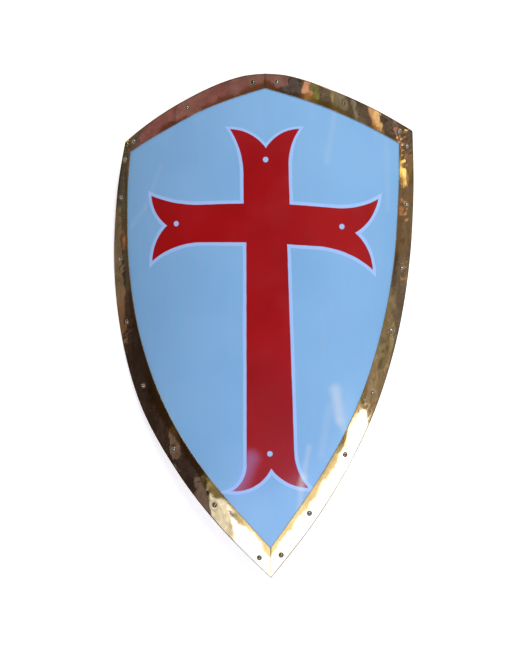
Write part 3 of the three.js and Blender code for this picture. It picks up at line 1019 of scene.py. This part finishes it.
def waxed_thread():
    f = Finish("waxed_thread")
    place = f.node("TexCoord", out="Object")
    twist = f.noise(place, 1400, 1)
    colour = f.mix(f.noise(place, 120, 2), (0.42, 0.33, 0.2), (0.55, 0.45, 0.3))
    f.set(base_color=colour, roughness=0.7, normal=f.bump(twist, 0.1 * MM))
    return f.material


def finish_with(piece, material):
    """Rides on the one body, and takes the material as its finish."""
    piece.data.materials.append(material)
    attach(piece, "root")


def two_sided(piece, material):
    """Gives the faces behind the plate a second material: those whose middle lies behind its face."""
    mesh = piece.data
    mesh.materials.append(material)
    centres = np.empty(len(mesh.polygons) * 3, np.float32)
    mesh.polygons.foreach_get("center", centres)
    out = to_sheet(centres.reshape(-1, 3))[:, 2]
    mesh.polygons.foreach_set("material_index", (out < -0.4 * PLATE).astype(np.int32))


# Staging
def facing_axes(back, hint, roll):
    """Right, up and back as columns. Right is square to back and hint, and then both roll about back."""
    right = unit(np.cross(hint, back))
    up = np.cross(back, right)
    c, s = math.cos(roll), math.sin(roll)
    return np.stack((c * right + s * up, c * up - s * right, back), axis=1)


def set_up(name, data, turn, place):
    """A camera or a light, turned and placed."""
    matrix = np.eye(4)
    matrix[:3, :3] = turn
    matrix[:3, 3] = place
    thing = bpy.data.objects.new(name, data)
    thing.matrix_world = Matrix(matrix.tolist())
    bpy.context.collection.objects.link(thing)
    return thing


def photo_camera():
    """The camera of the photograph: it looks down on the shield, nearly square to it."""
    lens = bpy.data.cameras.new("camera")
    lens.sensor_fit = "VERTICAL"
    lens.sensor_height = FILM
    lens.lens = FOCAL_PIXELS / PHOTO_HEIGHT * FILM
    lens.clip_end = 60
    back = (math.sin(CAMERA_YAW), 0, math.cos(CAMERA_YAW))
    turn = LIE @ facing_axes(back, (0, 1, 0), CAMERA_ROLL)
    bpy.context.scene.camera = set_up("camera", lens, turn, lay_down(CAMERA_PLACE))


WORLD_LEFT = (0.038, 0.027, 0.033)
WORLD_RIGHT = (0.128, 0.108, 0.122)
WORLD_RIGHT_HIGH = (0.37, 0.33, 0.29)
WORLD_UPPER_LEFT = (0.07, 0.066, 0.072)
LOW_BOX_TURN = math.radians(4.2)
DOWN, FROM_LEFT, FROM_RIGHT = (0, 0, -1), (1, 0, 0), (-1, 0, 0)

# Coloured cards in metres: name, place, size, colour, and where they have them their spin and mottle
OVERHEAD_CARDS = (
    ("cream_card", (-1.02, -1.05, 2.2), (0.54, 0.6), (0.88, 0.93, 1.1), 0, 0.4),
    ("dusk_card", (-1.49, -1.05, 2.2), (0.4, 0.5), (0.12, 0.105, 0.135), 0, 0.3),
    ("rose_far_card", (-1.338, 0.637, 2.2), (1.35, 0.94), (0.21, 0.086, 0.138), 0.16, 0.2),
    ("rose_card", (-0.218, 0.817, 2.2), (0.92, 0.94), (0.21, 0.105, 0.155), 0.16, 0.2),
    ("rose_wedge", (0.382, 0.747, 2.2), (0.26, 0.4), (0.21, 0.115, 0.165), 0.227, 0.2),
    ("sage_card", (0.461, 0.406, 2.2), (0.26, 0.3), (0.055, 0.058, 0.1), 0.227, 0.3),
    ("sage_strip", (0.65, 0.62, 2.2), (0.17, 0.8), (0.055, 0.058, 0.1), 0, 0.3),
    ("orange_card", (0.88, 0.575, 2.19), (0.11, 0.5), (0.62, 0.33, 0.3), -0.45),
    ("leaf_card", (1.04, 0.575, 2.19), (0.14, 0.5), (0.1, 0.15, 0.0), -0.4, 0.3),
    ("gap_card", (1.545, 0.62, 2.19), (0.045, 0.8), (0.42, 0.38, 0.28)),
    ("moss_card", (1.75, 0.62, 2.19), (0.28, 0.8), (0.14, 0.15, 0.15), 0, 0.3),
)
LEFT_CARDS = (
    ("rose_side_card", (-2.0, 0.7, 1.59), (0.9, 1.22), (0.15, 0.033, 0.075), 0, 0.35),
    ("rose_low_card", (-2.0, 0.7, 0.84), (0.9, 0.28), (0.04, 0.02, 0.035), 0, 0.3),
    ("left_spark", (-2.0, 0.86, 0.45), (0.5, 0.4), (5.0, 3.8, 2.4)),
    ("tan_card", (-2.0, 0.005, 0.34), (0.19, 0.36), (0.17, 0.108, 0.085), 0, 0.3),
    ("olive_card", (-2.0, 0.215, 0.31), (0.23, 0.3), (0.12, 0.094, 0.09), 0, 0.3),
    ("ember_card", (-2.0, 0.228, 0.585), (0.034, 0.1), (0.55, 0.19, 0.05)),
    ("umber_card", (-2.0, -0.62, 1.82), (0.16, 0.26), (0.15, 0.118, 0.14), 0, 0.3),
)
RIGHT_CARDS = (
    ("pale_card", (2.0, 0.66, 1.98), (0.9, 0.12), (0.2, 0.23, 0.27)),
    ("amber_card", (2.0, 0.56, 1.36), (0.9, 0.14), (0.6, 0.34, 0.22)),
    ("gold_card", (2.0, 0.56, 1.23), (0.9, 0.12), (0.95, 0.72, 0.5)),
    ("brick_card", (2.0, 0.64, 0.8), (0.34, 0.08), (0.33, 0.15, 0.24)),
    ("plum_card", (2.0, 0.472, 0.58), (0.024, 0.14), (0.34, 0.15, 0.16)),
    ("yellow_card", (2.0, 0.418, 0.69), (0.036, 0.22), (1.7, 1.25, 0.6)),
    ("straw_card", (2.0, 0.398, 0.60), (0.04, 0.2), (0.42, 0.28, 0.12)),
    ("copper_card", (2.0, 0.292, 0.65), (0.022, 0.3), (0.62, 0.3, 0.2)),
    ("peach_card", (2.0, 0.295, 0.74), (0.02, 0.1), (1.3, 0.85, 0.7)),
    ("warm_card", (2.0, 0.3275, 0.62), (0.345, 0.6), (0.06, 0.035, 0.0), 0, 0.5),
    ("honey_card", (2.0, 0.095, 0.58), (0.03, 0.16), (0.2, 0.13, 0.03)),
    ("right_spark", (2.0, 0.95, 0.5), (0.3, 0.3), (2.0, 1.6, 1.2)),
)


def light_card(name, place, facing, size, colour, spin=0.0, mottle=0.0, radiance=1):
    """A rectangular soft light in metres that faces along facing, unseen by the camera. Its radiance is
    even, or varies in clouds by the share mottle."""
    light = bpy.data.lights.new(name, "AREA")
    light.shape = "RECTANGLE"
    light.size, light.size_y = size
    light.color = colour
    light.energy = radiance * math.pi * size[0] * size[1]
    if mottle:
        n = Nodes(light)
        clouds = n.noise(n.node("NewGeometry", out="Position"), 5, 4, 0.62)
        n.show("Light", n.node("Emission", (1, 1, 1, 1), n.range(clouds, 0.32, 0.68, 1 - mottle, 1 + mottle)))
    back = -unit(np.array(facing, float))
    hint = (0, 0, 1) if abs(back[2]) < 0.9 else (0, 1, 0)
    card = set_up(name, light, facing_axes(back, hint, spin), place)
    card.visible_camera = False


def studio():
    """Floor, soft boxes overhead and coloured cards at the sides, whose reflections the brass shows."""
    points = np.array(((-9, -9, 0), (9, -9, 0), (9, 9, 0), (-9, 9, 0)), float)
    floor = make_mesh("floor", points, np.array(((0, 1, 2, 3),)))
    f = Finish("pale_floor")
    f.set(base_color=(0.95, 0.95, 0.91, 1), roughness=0.9, specular_ior_level=0.1)
    f.set(emission_color=(1, 1, 1, 1), emission_strength=0.42)
    floor.data.materials.append(f.material)
    light_card("key_box", (1.1, 2.4, 2.4), (-0.4, -0.8, -1), (3.0, 1.8), (1.0, 0.985, 0.94), radiance=6.1)
    light_card("fill_box", (-0.5, -3.2, 2.2), (0.12, 1, -0.75), (3.4, 1.4), (1, 1, 1), radiance=3.85)
    low_blue, side_blue = (0.7, 0.8, 1.2), (0.85, 0.92, 1.12)
    light_card("low_box", (0.745, -1.09, 2.2), DOWN, (2.99, 0.74), low_blue, LOW_BOX_TURN, radiance=3.2)
    light_card("low_side_box", (2.25, -1.01, 2.15), FROM_RIGHT, (0.94, 1.08), side_blue, radiance=3.2)
    for facing, cards in ((DOWN, OVERHEAD_CARDS), (FROM_LEFT, LEFT_CARDS), (FROM_RIGHT, RIGHT_CARDS)):
        for name, place, *finish in cards:
            light_card(name, place, facing, *finish)
    world = bpy.data.worlds.new("studio")
    w = Nodes(world)
    heading = w.node("TexCoord", out="Generated")
    x, y, z = w.parts(heading)
    yard = w.mix(w.range(x, 0.26, 0.36), WORLD_LEFT, WORLD_RIGHT)
    high = w.times(w.range(x, 0.7, 0.8), w.range(z, 0.36, 0.44), w.range(y, 0.01, -0.05))
    yard = w.mix(high, yard, WORLD_RIGHT_HIGH)
    upper = w.times(w.range(y, -0.02, 0.05), w.range(x, -0.4, -0.7))
    yard = w.mix(upper, yard, WORLD_UPPER_LEFT)
    broad = w.noise(w.stretched(heading, 9, 9, 5.4), 1, 5, 0.62)
    streaky = w.noise(w.stretched(heading, 14, 85, 24), 1, 4, 0.6)
    mottled = w.range(w.math("ADD", broad, streaky), 0.7, 1.35, 0.4, 1.7)
    seen = w.node("Background", (0.93, 0.94, 0.95, 1))
    dim = w.node("Background", yard, mottled)
    w.show("World", w.node("MixShader", w.node("LightPath", out="Is Camera Ray"), dim, seen))
    bpy.context.scene.world = world
    bpy.context.scene.view_settings.view_transform = "Standard"


def build():
    photo_camera()
    studio()
    plate = plate_piece()
    finish_with(plate, cross_paint())
    two_sided(plate, bare_steel("plate_back", (0.34, 0.32, 0.3), (0.1, 0.06, 0.035)))
    brass = polished_brass()
    steel = rivet_steel()
    for half_name in HALVES:
        finish_with(border_piece(half_name), brass)
        for i in range(RIVETS_PER_HALF):
            finish_with(rivet_piece(half_name, i), steel)
    leather, thread = oiled_leather(), waxed_thread()
    bar = bare_steel("staple_steel", (0.42, 0.4, 0.37), (0.12, 0.07, 0.04), 0.34)
    for name, strap in STRAPS.items():
        finish_with(strap_piece(name, strap), leather)
        finish_with(stitching_piece(name, strap), thread)
        for where, end in (("upper", 1), ("lower", -1)):
            finish_with(staple_piece(name, strap, where, end), bar)


build()
